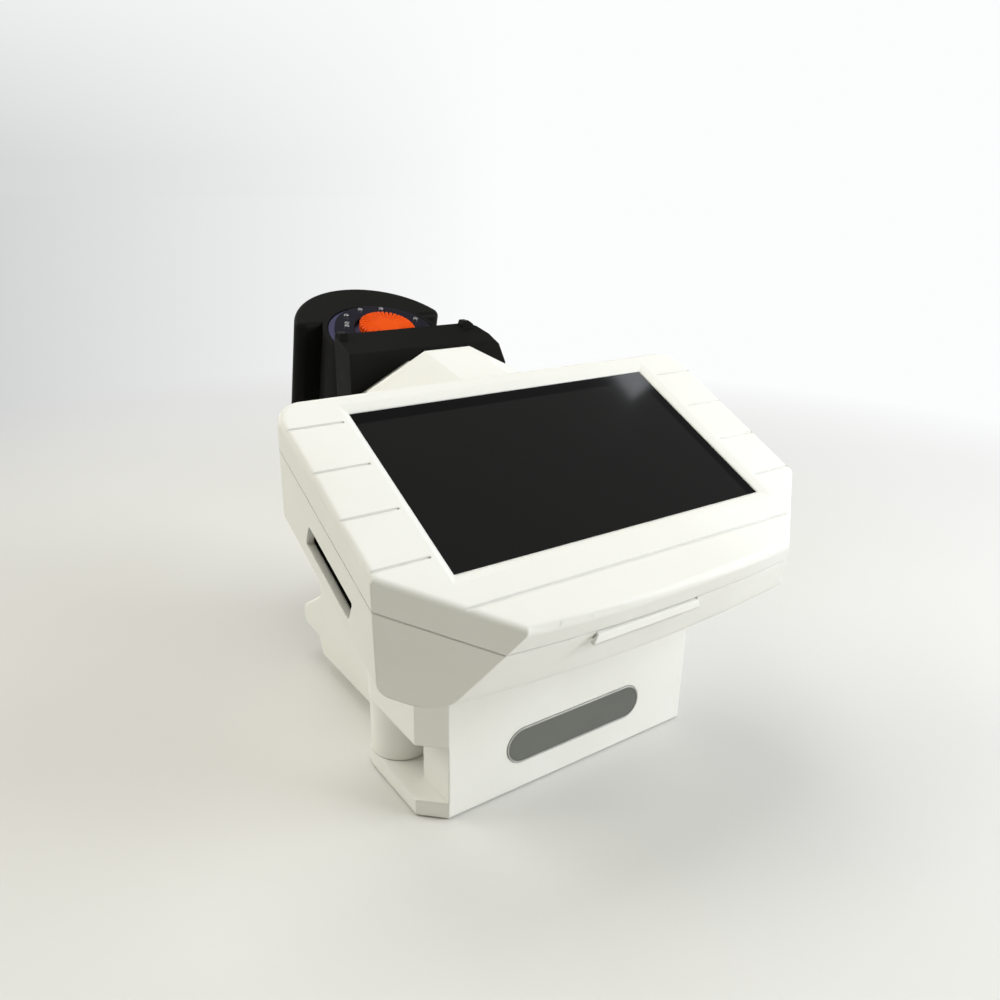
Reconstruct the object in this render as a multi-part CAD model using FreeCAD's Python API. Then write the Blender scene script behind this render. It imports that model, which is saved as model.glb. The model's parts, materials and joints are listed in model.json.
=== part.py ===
import FreeCAD, Part
import math
import os

# Desktop rapid test reader. A tilted display head stands on a narrow base, and a black reading
# hood with an orange dial rises behind it on a white neck. A door hinges on the left of the base.
# Millimetres, +Z up, +Y away from the user, origin on the table in the middle of the base.

V = FreeCAD.Vector
X_AXIS = V(1, 0, 0)
Y_AXIS = V(0, 1, 0)
Z_AXIS = V(0, 0, 1)

# Shared values
wall = 2.5
thin_wall = 1.5
fit_gap = 0.3
hinge_gap = 0.4
running_gap = 0.05
overrun = 6.0
board_thickness = 1.6
screw_radius = 1.5
screw_head_radius = 2.8
screw_head_height = 2.0
boss_radius = 4.0
pilot_gap = 0.1

# Display head: the screen plane is tilted about X, and lengths run along it (u), up it (v) and out (n)
screen_tilt = 26.0
screen_y = -56.85
screen_z = 145.0
head_half_width = 107.0
head_back_y = -4.8
head_back_radius = 12.5
head_depth = 39.4
head_side_draft = 0.85
head_heel_radius = 20.0
facet_side_y = -88.9
facet_angle = 38.95
facet_run_y = 50.0
chin_front = 75.6
chin_side_rise = 7.2
head_top_edge_radius = 3.0
head_bottom_edge_radius = 3.5
chin_edge_radius = 7.0
seam_depth = 11.3
seam_gap = 0.4
head_reach = 150.0

# Screen window, its sunk bevel and the grooves in the head's top
window_side_strip = 29.9
window_width = 2 * (head_half_width - window_side_strip)
window_height = 86.9
window_shift = -1.2
window_rise = 0.85
bevel_depth = 1.0
bevel_margin = 26.0
bevel_half_width = head_half_width - bevel_margin
bevel_top = 49.0
bevel_bottom = -47.0
window_lip = 0.15
groove_width = 0.9
groove_depth = 0.6
groove_inner_margin = 24.1
groove_outer_margin = 1.55
groove_inner = head_half_width - groove_inner_margin
groove_outer = head_half_width - groove_outer_margin
groove_first = 39.3
groove_pitch = 24.3
groove_count = 4
front_groove_v = -57.75

# Display stack
glass_lap = 2.2
glass_thickness = 1.8
gasket_width = 4.0
gasket_thickness = 1.0
lcd_margin = 2.0
lcd_thickness = 4.0
bracket_thickness = 1.0
bracket_margin_u = 5.5
bracket_margin_v = 3.0
bracket_screw_margin = 3.2
bracket_window_share = 0.6
bracket_boss_radius = 3.0

# Head screws
head_screw_margin = 9.0
head_screw_u = head_half_width - head_screw_margin
head_screw_back_v = 24.0
head_screw_front_v = -36.0
head_screw_stop = 5.0

# Main board and loudspeaker
board_left_margin = 37.0
board_right_margin = 19.0
board_left = -(head_half_width - board_left_margin)
board_right = head_half_width - board_right_margin
board_front = -6.0
board_back = 30.0
board_level = -31.6
board_post_inset = 6.0
board_post_radius = 2.5
chip_height = 3.0
chip_plan_shares = (
    (0.08, 0.25, 0.16, 0.4), (0.32, 0.3, 0.12, 0.45), (0.52, 0.2, 0.1, 0.3), (0.72, 0.35, 0.2, 0.4)
)
speaker_margin = 47.0
speaker_u = head_half_width - speaker_margin
speaker_v = -45.0
speaker_radius = 12.0
speaker_height = 6.0
speaker_cone_radius = 9.0
speaker_cone_depth = 1.5

# Port recess in the head's left side
port_low_v = -29.0
port_high_v = 9.8
port_top = -21.6
port_bottom = -30.8
port_corner_radius = 1.2
port_collar = 1.1
port_depth = 15.0
socket_depth = 6.0
socket_height = 5.0
socket_width = 8.5
socket_wall = 0.8
socket_count = 3

# Cassette tray, its slot and its guide
tray_centre_u = -8.9
tray_lip_top_width = 50.6
tray_lip_bottom_width = 54.0
tray_lip_top = -12.3
tray_lip_bottom = -15.5
tray_lip_top_reach = 0.4
tray_lip_bottom_reach = 1.9
tray_width = 50.0
tray_thickness = 2.5
tray_back_v = -8.0
slot_margin = 0.3
slot_floor_drop = 0.5
cassette_width = 22.0
cassette_length = 44.0
cassette_sink = 1.4
cassette_front_v = -62.0
guide_wall = 3.0
guide_floor = 1.5
guide_post_inset_u = 4.0
guide_front_v = -70.0
guide_post_front_v = -62.0
guide_post_back_v = -14.0
guide_post_radius = 2.5
reader_width = 22.0
reader_length = 24.0
reader_height = 9.0
reader_centre_v = -38.0
reader_lens_radius = 5.0

# Head to base joint, as wide as the base allows
mount_plate_margin = 12.6
mount_screw_inset = 10.0
mount_plate_front_v = -30.0
mount_plate_back_v = 20.0
mount_plate_thickness = 2.0
mount_screw_front_v = -22.0
mount_screw_back_v = 12.0
mount_boss_height = 4.0
column_width = 20.0
column_wall = 3.0
column_y = -50.0

# Base
sole_thickness = 0.8
sole_inset = 1.8
base_half_width = 66.6
base_front_y = -71.65
base_back_y = 71.65
base_step_depth = 12.6
base_step_x = -(base_half_width - base_step_depth)
base_step_y = -10.65
base_top = 132.0
base_floor_thickness = 2.5
base_boss_inset = 6.0
base_boss_radius = 4.5
base_boss_height = 15.0
base_front_boss_margin = 36.6
base_front_boss_x = -(base_half_width - base_front_boss_margin)
cable_hole_width = 24.0
cable_hole_length = 16.0
cable_hole_y = 24.0

# Door hinge at the base's left
pivot_inset = 3.9
pivot_x = -(base_half_width - pivot_inset)
pivot_y = -24.05
barrel_radius = 13.8
barrel_bottom = 8.4
barrel_top = 35.2
pin_radius = 3.0
pin_margin = 1.5
foot_top = 8.1
knuckle_bottom = 35.5
knuckle_top = 63.0
plate_bevel_width = 10.3
plate_bevel_length = 9.8
pocket_front_y = -50.85
pocket_depth = 16.6
pocket_side_x = -(base_half_width - pocket_depth)

# Side door
door_inset = 5.1
door_outer_x = -(base_half_width - door_inset)
door_thickness = 7.0
door_bottom = 8.3
door_top = 106.0
door_rear_y = 65.75
door_heel_rise = 9.2
door_heel_run = 5.0
ear_reach = 24.8
ear_shoulder_run = 22.4
ear_low = 18.3
ear_tip_height = 28.0
ear_root_height = 44.4
ear_corner_radius = 4.0
door_edge_bevel = 1.0
strike_width = 12.0
strike_height = 20.0
strike_thickness = 1.5
strike_y = 50.0
strike_z = 80.0

# Battery bay behind the door
bay_front_y = 6.0
bay_back_y = 44.0
bay_bottom = 22.0
bay_top = 92.0
bay_depth = 28.0
pack_margin = 2.0
pack_edge_radius = 3.0
contact_width = 5.0
contact_reach = 2.5
contact_count = 3

# Badge on the base's front, left plain
badge_length = 75.0
badge_height = 17.2
badge_z = 22.6
badge_sink = 1.0
badge_proud = 0.4
badge_rim_width = 0.7

# Power inlet and rocker switch at the base's back
inlet_margin = 26.6
inlet_x = base_half_width - inlet_margin
inlet_z = 24.0
inlet_width = 24.0
inlet_height = 16.0
inlet_length = 20.0
inlet_cavity_width = 16.0
inlet_cavity_height = 9.0
inlet_cavity_depth = 14.0
inlet_flange = 2.0
inlet_flange_thickness = 1.2
inlet_pin_radius = 1.0
inlet_pin_length = 9.0
inlet_pin_pitch = 6.0
rocker_x = 8.0
rocker_z = 24.0
rocker_length = 17.0
rocker_height = 9.0
rocker_depth = 5.0
rocker_crown = 1.2
rocker_frame_margin = 3.0
rocker_frame_depth = 12.0
rocker_slack = 0.9
rocker_pin_radius = 1.0
rocker_pin_length = 1.5
power_board_width = 70.0
power_board_depth = 40.0
power_board_y = 24.0
power_board_post = 6.0

# White neck between head and reading hood
neck_station_y = 37.65
neck_half_width = 44.0
neck_flat_half_width = 12.7
neck_flat_z = 172.9
neck_shoulder_z = 157.0
neck_fall = 9.3
neck_wall = 2.5
tongue_drop = 8.0

# Black block in front of the hood
block_front_y = 55.15
block_back_y = 71.45
block_half_width = 43.5
block_front_z = 171.2
block_back_z = 178.0
block_corner_x = 33.4
block_flare = 3.3
block_side_x = 41.35
block_lean_share = 0.426
block_turn_share = 0.2
block_snip_place = (40.3, 56.8, 171.0)
block_snip_direction = (12.1, -8.5, 17.0)
lug_left = 27.0
lug_slope_left = 0.8
lug_slope_right = 2.8
lug_depth = 5.0
lug_height = 2.0
small_lug_right = -38.2
small_lug_height = 1.3

# Reading hood: its top plane is tilted, its walls lean back a little less
hood_tilt = 20.0
hood_lean = 14.0
hood_y = 100.85
hood_z = 170.2
hood_radius = 45.8
hood_centre_x = 0.6
hood_shift = 9.3
hood_front_v = 17.0
hood_corner_radius = 5.0
hood_edge_radius = 3.5
hood_neck_radius = 34.0
hood_bore_radius = 31.4
hood_bottom = 118.0
saddle_half_width = 27.0
saddle_top = 160.0
hood_floor_thickness = 2.5
ledge_radius = 28.5
ledge_top = -3.5
ledge_thickness = 2.0

# Well, dial and carousel
deck_radius = 31.0
deck_thickness = 3.0
plate_radius = 27.8
plate_bore_radius = 17.5
plate_thickness = 2.5
well_screw_circle = 24.3
well_inner_circle = 21.5
well_screw_radius = 1.3
well_screw_height = 0.8
well_screw_angles = (22.5, 71.5, 101.0, 129.0, 215.0, 270.0, 325.0)
well_inner_angles = (149.8, 158.3)
dial_radius = 15.1
dial_root_radius = 13.3
dial_core_radius = 12.6
dial_teeth = 38
dial_tooth_share = 0.62
dial_height = 6.1
dial_lift = 0.3
dial_edge_radius = 1.0
dial_root_depth = 3.8
dial_flute_start = 5.5
dial_flute_depth = 1.3
dial_flute_half_width = 0.7
shaft_radius = 3.0
shaft_blind = 1.5
bush_radius = 6.0
bush_flange_radius = 8.0
bush_flange_thickness = 1.0
carousel_radius = 26.0
carousel_thickness = 4.0
carousel_top = -12.0
carousel_slot_length = 12.0
carousel_slot_width = 6.0
carousel_slot_circle = 18.0
carousel_slots = 8
bracket_top = -26.0
bracket_depth = 3.5
bracket_half_length = 30.0
bracket_half_width = 7.0

# Detector inside the block
detector_half_width = 30.0
detector_top = 164.0
detector_gap_y = 3.5
lens_radius = 7.0
lens_z = 150.0
lens_length = 5.5


def box(x0, x1, y0, y1, z0, z1):
    return Part.makeBox(x1 - x0, y1 - y0, z1 - z0, V(x0, y0, z0))


def disc(x, y, z0, z1, radius):
    return Part.makeCylinder(radius, z1 - z0, V(x, y, z0))


def ring(x, y, z0, z1, outer, inner):
    return disc(x, y, z0, z1, outer).cut(disc(x, y, z0 - overrun, z1 + overrun, inner))


def prism(points, z0, z1):
    corners = [V(x, y, z0) for x, y in points]
    face = Part.Face(Part.makePolygon(corners + corners[:1]))
    return face.extrude(V(0, 0, z1 - z0))


def side_prism(points, x0, x1):
    corners = [V(x0, y, z) for y, z in points]
    face = Part.Face(Part.makePolygon(corners + corners[:1]))
    return face.extrude(V(x1 - x0, 0, 0))


def front_prism(points, y0, y1):
    corners = [V(x, y0, z) for x, z in points]
    face = Part.Face(Part.makePolygon(corners + corners[:1]))
    return face.extrude(V(0, y1 - y0, 0))


def frustum(low, low_z, high, high_z):
    wires = []
    for (x0, x1, y0, y1), z in ((low, low_z), (high, high_z)):
        corners = [V(x0, y0, z), V(x1, y0, z), V(x1, y1, z), V(x0, y1, z)]
        wires.append(Part.makePolygon(corners + corners[:1]))
    return Part.makeLoft(wires, True, True)


def joined(shapes):
    result = shapes[0]
    for shape in shapes[1:]:
        result = result.fuse(shape)
    return result.removeSplitter()


def without(shape, cutters):
    for cutter in cutters:
        shape = shape.cut(cutter)
    return shape


def tilted(shape, y, z, angle):
    placement = FreeCAD.Placement(V(0, y, z), FreeCAD.Rotation(X_AXIS, angle))
    placed = shape.copy()
    placed.Placement = placement.multiply(shape.Placement)
    return placed


def on_screen(shape):
    return tilted(shape, screen_y, screen_z, screen_tilt)


def on_hood(shape):
    return tilted(shape, hood_y, hood_z, hood_tilt)


def screen_yz(v, n):
    angle = math.radians(screen_tilt)
    y = screen_y + v * math.cos(angle) - n * math.sin(angle)
    z = screen_z + v * math.sin(angle) + n * math.cos(angle)
    return y, z


def screen_z_at(y, n):
    angle = math.radians(screen_tilt)
    v = (y - screen_y + n * math.sin(angle)) / math.cos(angle)
    return screen_yz(v, n)[1]


def edges_where(shape, test):
    return [edge for edge in shape.Edges if test(edge)]


def edge_points(edge):
    first, last = edge.ParameterRange
    count = 5
    return [edge.valueAt(first + (last - first) * i / (count - 1)) for i in range(count)]


def edges_on_level(shape, level):
    near = 0.01
    return edges_where(shape, lambda edge: all(abs(p.z - level) < near for p in edge_points(edge)))


def screen_level(n):
    angle = math.radians(screen_tilt)
    normal = V(0, -math.sin(angle), math.cos(angle))
    origin = V(0, screen_y, screen_z)
    near = 0.01
    return lambda edge: all(abs((p - origin).dot(normal) - n) < near for p in edge_points(edge))


def head_plan():
    side = head_half_width
    back = head_back_y
    radius = head_back_radius
    turn = radius * (1 - 1 / math.sqrt(2))
    front = facet_side_y - facet_run_y
    narrow = side - facet_run_y / math.tan(math.radians(facet_angle))
    left_corner = Part.Arc(
        V(-side + radius, back, 0), V(-side + turn, back - turn, 0), V(-side, back - radius, 0)
    )
    right_corner = Part.Arc(
        V(side, back - radius, 0), V(side - turn, back - turn, 0), V(side - radius, back, 0)
    )
    left = [V(-side, back - radius, 0), V(-side, facet_side_y, 0), V(-narrow, front, 0)]
    right = [V(narrow, front, 0), V(side, facet_side_y, 0), V(side, back - radius, 0)]
    corners = left + right
    lines = [Part.makeLine(start, end) for start, end in zip(corners, corners[1:])]
    closing = Part.makeLine(V(side - radius, back, 0), V(-side + radius, back, 0))
    return Part.Wire([left_corner.toShape()] + lines + [right_corner.toShape(), closing])


def head_plan_prism(inset):
    outline = head_plan()
    if inset > 0:
        outline = outline.makeOffset2D(-inset, 2)
    face = Part.Face(outline)
    return face.extrude(V(0, 0, screen_z + head_reach))


def chin_prism(inset):
    side = head_half_width + overrun
    front = -chin_front + inset
    rise = chin_side_rise
    bow = Part.Arc(V(-side, front + rise, 0), V(0, front, 0), V(side, front + rise, 0))
    edges = [
        bow.toShape(),
        Part.makeLine(V(side, front + rise, 0), V(side, head_reach, 0)),
        Part.makeLine(V(side, head_reach, 0), V(-side, head_reach, 0)),
        Part.makeLine(V(-side, head_reach, 0), V(-side, front + rise, 0)),
    ]
    slab = Part.Face(Part.Wire(edges)).extrude(V(0, 0, head_reach * 2))
    slab.translate(V(0, 0, -head_reach))
    return on_screen(slab)


def head_side_prism(inset):
    back = head_back_y - inset
    top = -inset
    bottom = -head_depth + inset
    points = [
        screen_yz(-head_reach, top),
        (back, screen_z_at(back, top)),
        (back, screen_z_at(back, bottom)),
        screen_yz(-head_reach, bottom),
    ]
    half = head_half_width + overrun
    body = side_prism(points, -half, half)
    heel_y, heel_z = points[2]
    near = 0.01
    heel = edges_where(
        body,
        lambda edge: all(math.hypot(p.y - heel_y, p.z - heel_z) < near for p in edge_points(edge)),
    )
    return body.makeFillet(head_heel_radius - inset, heel)


def head_profile(inset):
    body = chin_prism(inset).common(head_side_prism(inset))
    bottom = screen_level(-head_depth + inset)
    low_y = screen_yz(-chin_front + chin_side_rise, -head_depth)[0] + overrun
    edges = edges_where(body, lambda edge: bottom(edge) and all(p.y < low_y for p in edge_points(edge)))
    return body.makeFillet(chin_edge_radius - inset, edges)


def head_form(inset):
    return head_plan_prism(inset).common(head_profile(inset))


def rounded_side_slab():
    low = head_half_width - head_side_draft
    high = head_half_width + head_side_draft * head_reach / head_depth
    outline = [(-low, -head_depth), (low, -head_depth), (high, head_reach), (-high, head_reach)]
    slab = front_prism(outline, -head_reach, head_reach)
    near = 0.01
    edges = edges_where(
        slab,
        lambda edge: all(abs(p.z + head_depth) < near and abs(abs(p.x) - low) < near for p in edge_points(edge))
    )
    return on_screen(slab.makeFillet(head_bottom_edge_radius, edges))


def head_outer():
    form = head_form(0).common(rounded_side_slab())
    return form.makeFillet(head_top_edge_radius, edges_where(form, screen_level(0)))


def window_box(margin, n0, n1):
    half = window_width / 2 + margin
    high = window_height / 2 + margin
    return box(window_shift - half, window_shift + half, window_rise - high, window_rise + high, n0, n1)


def bevel_cutter():
    half = window_width / 2
    high = window_height / 2
    low = (window_shift - half, window_shift + half, window_rise - high, window_rise + high)
    top = (-bevel_half_width, bevel_half_width, bevel_bottom, bevel_top)
    return frustum(low, -bevel_depth, top, 0).fuse(box(*top, 0, overrun))


def groove_cutters():
    half = groove_width / 2
    cutters = []
    for side in (-1, 1):
        ends = sorted((side * groove_inner, side * groove_outer))
        for index in range(groove_count):
            v = groove_first - groove_pitch * index
            cutters.append(box(ends[0], ends[1], v - half, v + half, -groove_depth, overrun))
    cutters.append(
        box(-groove_inner, groove_inner, front_groove_v - half, front_groove_v + half, -groove_depth, overrun)
    )
    return cutters


glass_top = -bevel_depth - window_lip
glass_bottom = glass_top - glass_thickness
gasket_bottom = glass_bottom - gasket_thickness
lcd_bottom = gasket_bottom - lcd_thickness
bracket_bottom = lcd_bottom - bracket_thickness
head_floor = -head_depth + wall
seam_upper = -seam_depth + seam_gap / 2
seam_lower = -seam_depth - seam_gap / 2


def head_screw_places():
    return [(side * head_screw_u, v) for side in (-1, 1) for v in (head_screw_back_v, head_screw_front_v)]


def bracket_places():
    half = window_width / 2 + glass_lap + bracket_margin_u - bracket_screw_margin + bracket_boss_radius / 2
    high = window_height / 2 - bracket_screw_margin
    return [(window_shift + side * half, window_rise + end * high) for side in (-1, 1) for end in (-1, 1)]


def head_upper_shell(outer, inner):
    above = on_screen(box(-head_reach, head_reach, -head_reach, head_reach, seam_upper, head_reach))
    shell = outer.cut(inner).common(above)
    bosses = [disc(u, v, seam_upper, -wall / 2, boss_radius) for u, v in head_screw_places()]
    bosses += [disc(u, v, lcd_bottom, -wall / 2, bracket_boss_radius) for u, v in bracket_places()]
    shell = joined([shell] + [on_screen(boss).common(outer) for boss in bosses])
    cutters = [window_box(0, -wall - overrun, overrun), bevel_cutter()]
    cutters.append(window_box(glass_lap + fit_gap, -wall - overrun, glass_top))
    cutters += groove_cutters()
    pilot = screw_radius + pilot_gap
    cutters += [disc(u, v, seam_upper - overrun, -head_screw_stop, pilot) for u, v in head_screw_places()]
    cutters += [disc(u, v, lcd_bottom - overrun, -head_screw_stop, pilot) for u, v in bracket_places()]
    return without(shell, [on_screen(cutter) for cutter in cutters])


def head_lower_posts():
    posts = [disc(u, v, head_floor - wall / 2, seam_lower, boss_radius) for u, v in head_screw_places()]
    posts += [
        disc(u, v, head_floor - wall / 2, board_level, board_post_radius) for u, v in board_post_places()
    ]
    low = tray_bottom() - fit_gap - guide_floor
    posts += [disc(u, v, head_floor - wall / 2, low, guide_post_radius) for u, v in guide_post_places()]
    high = head_floor + mount_boss_height
    posts += [disc(u, v, head_floor - wall / 2, high, boss_radius) for u, v in mount_screw_places()]
    return posts


def head_lower_shell(outer, inner):
    below = on_screen(box(-head_reach, head_reach, -head_reach, head_reach, -head_reach, seam_lower))
    shell = outer.cut(inner).common(below)
    additions = head_lower_posts() + [port_rim()]
    shell = joined([shell] + [on_screen(piece) for piece in additions])
    pilot = screw_radius + pilot_gap
    seat = -head_depth + screw_head_height
    cutters = []
    for u, v in head_screw_places():
        cutters.append(disc(u, v, -head_depth - overrun, seam_lower + overrun, pilot))
        cutters.append(disc(u, v, -head_depth - overrun, seat, screw_head_radius + pilot_gap))
    for u, v in mount_screw_places():
        cutters.append(disc(u, v, -head_depth - overrun, head_floor + mount_boss_height + overrun, pilot))
    half = tray_lip_top_width / 2 + slot_margin / 2
    cutters.append(
        box(
            tray_centre_u - half,
            tray_centre_u + half,
            -chin_front - overrun,
            -chin_front + wall + overrun,
            tray_bottom() - slot_floor_drop,
            seam_upper,
        )
    )
    cutters.append(port_mouth())
    return without(shell, [on_screen(cutter) for cutter in cutters])


def display_glass():
    return on_screen(window_box(glass_lap, glass_bottom, glass_top))


def display_gasket():
    frame = window_box(glass_lap, gasket_bottom, glass_bottom)
    hole = window_box(glass_lap - gasket_width, gasket_bottom - overrun, glass_bottom + overrun)
    return on_screen(frame.cut(hole))


def lcd_panel():
    return on_screen(window_box(glass_lap - lcd_margin, lcd_bottom, gasket_bottom))


def bracket_half_sizes():
    half = window_width / 2 + glass_lap + bracket_margin_u
    high = window_height / 2 + bracket_margin_v
    return half, high


def panel_bracket():
    half, high = bracket_half_sizes()
    low_v = window_rise - high
    high_v = window_rise + high
    plate = box(window_shift - half, window_shift + half, low_v, high_v, bracket_bottom, lcd_bottom)
    inner_half = half * bracket_window_share
    inner_high = high * bracket_window_share
    hole = box(
        window_shift - inner_half,
        window_shift + inner_half,
        window_rise - inner_high,
        window_rise + inner_high,
        bracket_bottom - overrun,
        lcd_bottom + overrun,
    )
    holes = [
        disc(u, v, bracket_bottom - overrun, lcd_bottom + overrun, screw_radius) for u, v in bracket_places()
    ]
    return on_screen(without(plate, [hole] + holes))


def screw(u, v, head_z, tip_z, head_radius, head_height):
    direction = 1 if tip_z > head_z else -1
    head_end = head_z + direction * head_height
    head = disc(u, v, min(head_z, head_end), max(head_z, head_end), head_radius)
    shank = disc(u, v, min(head_end, tip_z), max(head_end, tip_z), screw_radius)
    return head.fuse(shank).removeSplitter()


def panel_screws():
    top = bracket_bottom - thin_wall
    tip = -head_screw_stop - thin_wall / 2
    shapes = [screw(u, v, top, tip, screw_head_radius, thin_wall) for u, v in bracket_places()]
    return on_screen(Part.makeCompound(shapes))


def head_screws():
    tip = -head_screw_stop - thin_wall
    shapes = [
        screw(u, v, -head_depth, tip, screw_head_radius, screw_head_height) for u, v in head_screw_places()
    ]
    return on_screen(Part.makeCompound(shapes))


def board_post_places():
    inset = board_post_inset
    return [
        (u, v) for u in (board_left + inset, board_right - inset) for v in (board_front + inset, board_back - inset)
    ]


def main_board():
    return on_screen(
        box(board_left, board_right, board_front, board_back, board_level, board_level + board_thickness)
    )


def board_chips():
    length = board_right - board_left
    depth = board_back - board_front
    top = board_level + board_thickness
    chips = []
    for u_share, v_share, length_share, depth_share in chip_plan_shares:
        u = board_left + length * u_share
        v = board_front + depth * v_share
        chips.append(box(u, u + length * length_share, v, v + depth * depth_share, top, top + chip_height))
    return on_screen(Part.makeCompound(chips))


def speaker():
    body = disc(speaker_u, speaker_v, head_floor, head_floor + speaker_height, speaker_radius)
    top = head_floor + speaker_height
    cone = Part.makeCone(
        speaker_cone_radius / 2, speaker_cone_radius, speaker_cone_depth,
        V(speaker_u, speaker_v, top - speaker_cone_depth)
    )
    return on_screen(body.cut(cone))


def port_bay_start():
    return -head_half_width + wall + port_collar


def port_mouth():
    side = -head_half_width - overrun
    mouth = box(side, port_bay_start() + overrun, port_low_v, port_high_v, port_bottom, port_top)
    near = 0.01
    return mouth.makeFillet(
        port_corner_radius, edges_where(mouth, lambda edge: abs(edge.tangentAt(0).x) > 1 - near)
    )


def port_rim():
    start = -head_half_width + wall / 2
    low = port_low_v - thin_wall
    high = port_high_v + thin_wall
    return box(start, port_bay_start(), low, high, port_bottom - thin_wall, port_top + thin_wall)


def port_bay():
    side = port_bay_start()
    back = -head_half_width + port_depth
    outer = box(
        side,
        back + thin_wall,
        port_low_v - thin_wall,
        port_high_v + thin_wall,
        port_bottom - thin_wall,
        port_top + thin_wall,
    )
    return on_screen(outer.cut(box(side - overrun, back, port_low_v, port_high_v, port_bottom, port_top)))


def port_sockets():
    back = -head_half_width + port_depth
    pitch = (port_high_v - port_low_v) / socket_count
    middle = (port_top + port_bottom) / 2
    sockets = []
    for index in range(socket_count):
        v = port_low_v + pitch * index + pitch / 2
        half = socket_width / 2
        high = socket_height / 2
        body = box(back - socket_depth, back, v - half, v + half, middle - high, middle + high)
        mouth = box(
            back - socket_depth - overrun,
            back - socket_wall,
            v - half + socket_wall,
            v + half - socket_wall,
            middle - high + socket_wall,
            middle + high - socket_wall,
        )
        sockets.append(body.cut(mouth))
    return on_screen(Part.makeCompound(sockets))


def tray_bottom():
    return tray_lip_top - tray_thickness


def cassette_tray():
    half = tray_width / 2
    back_face = -chin_front - fit_gap
    body = box(
        tray_centre_u - half, tray_centre_u + half, back_face, tray_back_v, tray_bottom(), tray_lip_top
    )
    low = tray_lip_bottom_width / 2
    high = tray_lip_top_width / 2
    lip = frustum(
        (tray_centre_u - low, tray_centre_u + low, back_face - tray_lip_bottom_reach, back_face),
        tray_lip_bottom,
        (tray_centre_u - high, tray_centre_u + high, back_face - tray_lip_top_reach, back_face),
        tray_lip_top,
    )
    nest = box(
        tray_centre_u - cassette_width / 2,
        tray_centre_u + cassette_width / 2,
        cassette_front_v,
        cassette_front_v + cassette_length,
        tray_lip_top - cassette_sink,
        tray_lip_top + overrun,
    )
    return on_screen(joined([body, lip]).cut(nest))


def guide_post_places():
    half = tray_width / 2 - guide_post_inset_u
    return [
        (tray_centre_u + side * half, v) for side in (-1, 1) for v in (guide_post_front_v, guide_post_back_v)
    ]


def tray_guide():
    inner = tray_width / 2 + fit_gap
    outer = inner + guide_wall
    top = seam_lower - fit_gap
    floor_top = tray_bottom() - fit_gap
    back = tray_back_v + fit_gap
    body = box(
        tray_centre_u - outer, tray_centre_u + outer, guide_front_v,
        back + guide_wall, floor_top - guide_floor, top
    )
    channel = box(
        tray_centre_u - inner, tray_centre_u + inner, guide_front_v - overrun, back, floor_top, top + overrun
    )
    eye = disc(
        tray_centre_u, reader_centre_v, floor_top - guide_floor - overrun, floor_top + overrun, reader_lens_radius
    )
    return on_screen(without(body, [channel, eye]))


def strip_reader():
    top = tray_bottom() - fit_gap - guide_floor
    half = reader_width / 2
    body = box(
        tray_centre_u - half,
        tray_centre_u + half,
        reader_centre_v - reader_length / 2,
        reader_centre_v + reader_length / 2,
        top - reader_height,
        top,
    )
    lens_radius_here = reader_lens_radius - fit_gap
    lens = disc(tray_centre_u, reader_centre_v, top - fit_gap, top + guide_floor - fit_gap, lens_radius_here)
    return on_screen(joined([body, lens]))


def mount_plate_half_width():
    return base_half_width - mount_plate_margin


def mount_screw_places():
    half = mount_plate_half_width() - mount_screw_inset
    return [(side * half, v) for side in (-1, 1) for v in (mount_screw_front_v, mount_screw_back_v)]


def mount_plate_top():
    return -head_depth - fit_gap - wall


def mount_plate():
    top = mount_plate_top()
    half = mount_plate_half_width()
    plate = box(-half, half, mount_plate_front_v, mount_plate_back_v, top - mount_plate_thickness, top)
    pilot = screw_radius + pilot_gap
    low = top - mount_plate_thickness - overrun
    holes = [disc(u, v, low, top + overrun, pilot) for u, v in mount_screw_places()]
    return on_screen(without(plate, holes))


def mount_screws():
    head = mount_plate_top() - mount_plate_thickness - screw_head_height
    tip = head_floor + mount_boss_height - thin_wall
    shapes = [screw(u, v, head, tip, screw_head_radius, screw_head_height) for u, v in mount_screw_places()]
    return on_screen(Part.makeCompound(shapes))


def support_column():
    half = column_width / 2
    low = sole_thickness + base_floor_thickness
    tube = box(-half, half, column_y - half, column_y + half, low, screen_z)
    hole = half - column_wall
    tube = tube.cut(box(-hole, hole, column_y - hole, column_y + hole, low - overrun, screen_z + overrun))
    above = on_screen(
        box(
            -head_reach, head_reach, -head_reach, head_reach, mount_plate_top() - mount_plate_thickness, head_reach
        )
    )
    return tube.cut(above)


def base_outline(inset):
    left = -base_half_width + inset
    right = base_half_width - inset
    front = base_front_y + inset
    back = base_back_y - inset
    step_x = base_step_x + inset
    step_y = base_step_y - inset
    return [(left, front), (right, front), (right, back), (step_x, back), (step_x, step_y), (left, step_y)]


def base_cap(inset):
    plane = -head_depth - fit_gap - inset
    shoulder = head_back_y + fit_gap + inset
    front = base_front_y - overrun
    back = base_back_y + overrun
    low = -overrun
    points = [
        (front, low),
        (front, screen_z_at(front, plane)),
        (shoulder, screen_z_at(shoulder, plane)),
        (shoulder, base_top - inset),
        (back, base_top - inset),
        (back, low),
    ]
    half = base_half_width + overrun
    return side_prism(points, -half, half)


def knuckle_radius():
    return barrel_radius + hinge_gap


def knuckle(z0, z1, grow):
    left = pivot_x - knuckle_radius() - grow
    points = [
        (base_step_x + grow, base_front_y - grow),
        (left + plate_bevel_width + grow, base_front_y - grow),
        (left, base_front_y + plate_bevel_length),
        (left, pivot_y),
        (base_step_x + grow, pivot_y),
    ]
    plate = prism(points, z0, z1)
    return plate.fuse(disc(pivot_x, pivot_y, z0, z1, knuckle_radius() + grow)).removeSplitter()


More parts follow.
